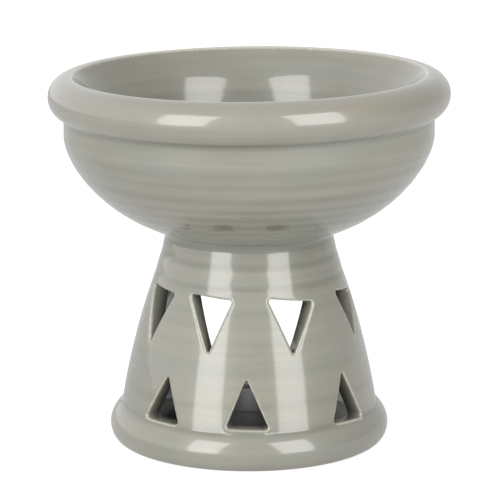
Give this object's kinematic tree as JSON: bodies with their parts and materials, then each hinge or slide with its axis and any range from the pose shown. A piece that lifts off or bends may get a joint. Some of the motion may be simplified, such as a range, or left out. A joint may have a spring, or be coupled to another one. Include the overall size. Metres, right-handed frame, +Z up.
{
  "type": "oil burner",
  "caption": "Ceramic oil burner: a deep round bowl with a rolled rim on a hollow, pierced stand that holds a tealight.",
  "frame": {"origin": "centre of the foot, on the surface that the burner stands on", "axes": "+Z up through the bowl, -Y towards the front windows, +Y towards the tealight door"},
  "size_m": [0.125, 0.125, 0.1164],
  "materials": {
    "celadon_glaze": "glossy grey-green glaze, thinner and paler along cut edges",
    "candle_foil": "pressed foil",
    "candle_wax": "white candle wax",
    "tinplate": "tinned steel",
    "cotton_wick": "waxed braided cotton"
  },
  "bodies": {
    "burner": {"stand": "celadon_glaze", "slip_joint": "celadon_glaze", "bowl": "celadon_glaze"},
    "tealight": {"tealight_cup": "candle_foil", "tealight_wax": "candle_wax", "wick_sustainer": "tinplate", "tealight_wick": "cotton_wick"}
  },
  "joints": [
    {"name": "tealight_lift", "type": "slide", "parent": "burner", "child": "tealight", "axis": [0, 0.891, 0.454], "range_m": [0, 0.115]}
  ]
}
